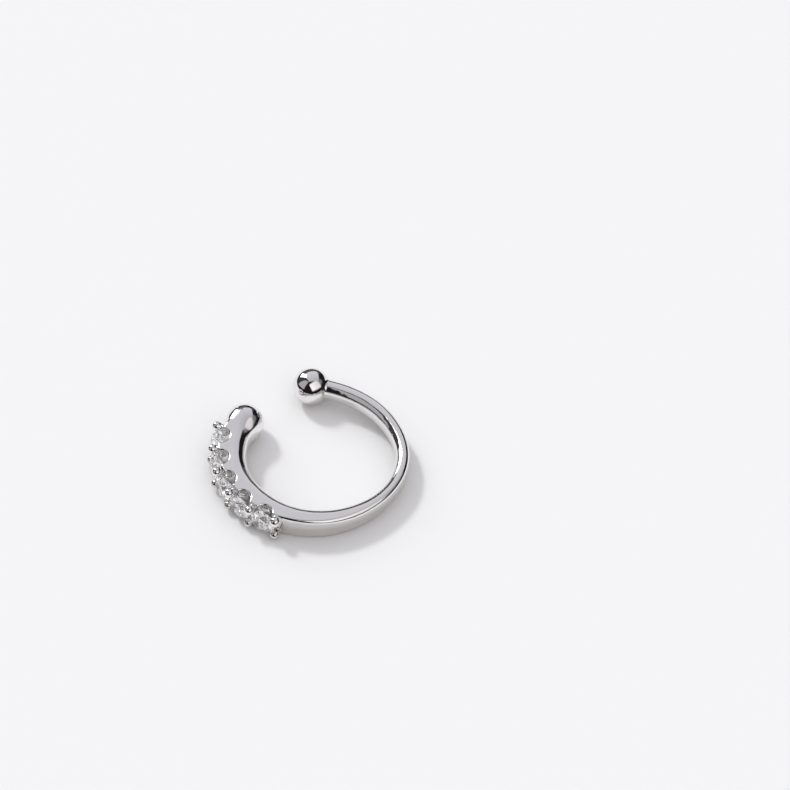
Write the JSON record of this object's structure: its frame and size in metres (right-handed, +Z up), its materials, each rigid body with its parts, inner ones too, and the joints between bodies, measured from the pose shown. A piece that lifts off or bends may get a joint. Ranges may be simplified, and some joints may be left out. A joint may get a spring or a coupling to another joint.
{
  "type": "nose cuff",
  "caption": "C-shaped polished silver cuff with a ball at each end and a row of round stones held by shared claws along its thicker half.",
  "frame": {"origin": "under the middle of the whole cuff, on the surface that it lies on", "axes": "+Z is up from that surface, across the band; +Y points to the opening between the balls; the stones are on the -X side and the plain slim half is on the +X side"},
  "size_m": [0.0102, 0.0096, 0.002],
  "materials": {
    "silver": "cast silver polished to a mirror, rhodium plated",
    "stone": "clear round brilliant-cut stones"
  },
  "bodies": {
    "root": {"cuff_body": "silver", "stone_1": "stone", "stone_2": "stone", "stone_3": "stone", "stone_4": "stone", "stone_5": "stone"}
  },
  "joints": []
}
